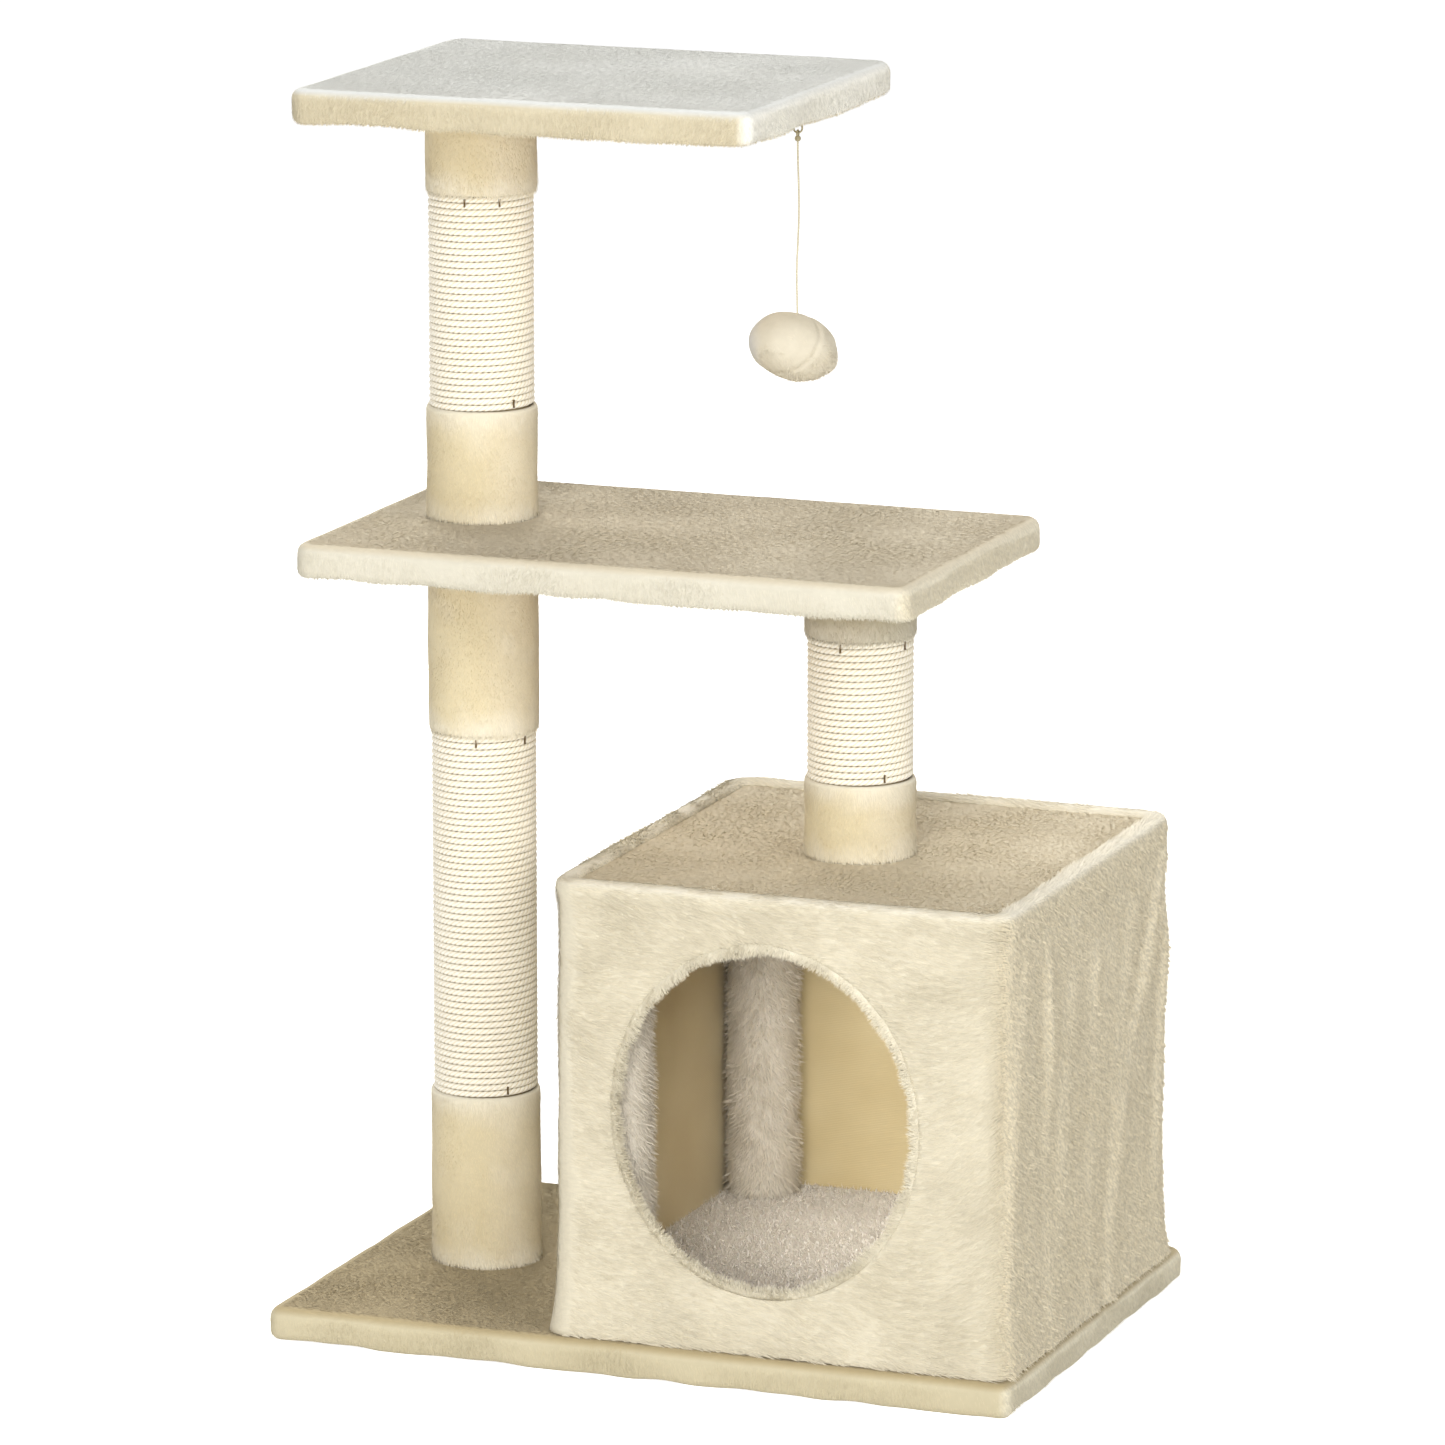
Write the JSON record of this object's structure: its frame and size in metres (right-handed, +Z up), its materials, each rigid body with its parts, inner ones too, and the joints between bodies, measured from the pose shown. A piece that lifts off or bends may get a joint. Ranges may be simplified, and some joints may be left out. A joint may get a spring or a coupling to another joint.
{
  "type": "cat tree",
  "caption": "Free-standing cat tree: plush base, cube den with round entrance, platforms on rope-wound scratching posts, and a hanging toy ball.",
  "frame": {"origin": "middle of the base, on the floor", "axes": "+X to the right along the front, +Y towards the back, +Z up"},
  "size_m": [0.5, 0.35, 0.806],
  "materials": {
    "chipboard": "pressed wood particles, unfinished",
    "plush": "short faux-fur plush, beige",
    "paper_tube": "spirally wound paper tube",
    "plush_light": "short faux-fur plush, light beige",
    "sisal": "three-strand twisted sisal rope, bleached",
    "poplar": "planed softwood disc",
    "card": "grey-brown card",
    "lining": "smooth woven lining",
    "insert_zinc": "yellow zinc",
    "steel": "zinc-plated steel",
    "cord": "thin twisted cotton cord"
  },
  "bodies": {
    "tree": {"base_board": "chipboard", "base_cover": "plush", "long_post_tube": "paper_tube", "long_post_lower_plush": "plush_light", "long_post_rope": "sisal", "long_post_upper_plush": "plush_light", "upper_post_tube": "paper_tube", "upper_post_lower_plush": "plush_light", "upper_post_rope": "sisal", "upper_post_upper_plush": "plush_light", "short_post_tube": "paper_tube", "short_post_lower_plush": "plush_light", "short_post_rope": "sisal", "short_post_upper_plush": "plush_light", "post_end_plugs": "poplar", "middle_platform_board": "chipboard", "middle_platform_cover": "plush", "top_platform_board": "chipboard", "top_platform_cover": "plush", "den_floor_board": "chipboard", "den_floor_cover": "plush", "den_roof_board": "chipboard", "den_roof_cover": "plush", "front_wall_panel": "card", "back_wall_panel": "card", "left_wall_panel": "card", "right_wall_panel": "card", "den_lining": "lining", "den_plush_wall": "plush", "entrance_trim": "plush_light", "den_post_tube_front_left": "paper_tube", "den_post_tube_front_right": "paper_tube", "den_post_tube_back_left": "paper_tube", "den_post_tube_back_right": "paper_tube", "den_post_plush_front_left": "plush_light", "den_post_plush_front_right": "plush_light", "den_post_plush_back_left": "plush_light", "den_post_plush_back_right": "plush_light", "den_post_end_plugs": "poplar", "insert_nuts": "insert_zinc", "short_bolts": "steel", "long_bolts": "steel", "washers": "steel", "joining_stud": "steel", "rope_staples": "steel", "toy_staple": "steel"},
    "loop": {"toy_loop": "cord"},
    "cord": {"toy_knot": "cord", "toy_cord": "cord"},
    "ball": {"toy_ball": "plush_light"}
  },
  "joints": [
    {"name": "loop_swing", "type": "hinge", "parent": "tree", "child": "loop", "pos_m": [0.05, -0.014, 0.78], "axis": [0, 1, 0], "range_deg": [-60, 60]},
    {"name": "cord_swing", "type": "hinge", "parent": "loop", "child": "cord", "pos_m": [0.05, -0.014, 0.7755], "axis": [1, 0, 0], "range_deg": [-60, 60]},
    {"name": "ball_twist", "type": "hinge", "parent": "cord", "child": "ball", "pos_m": [0.05, -0.014, 0.638], "axis": [0, 0, 1], "continuous": true}
  ]
}
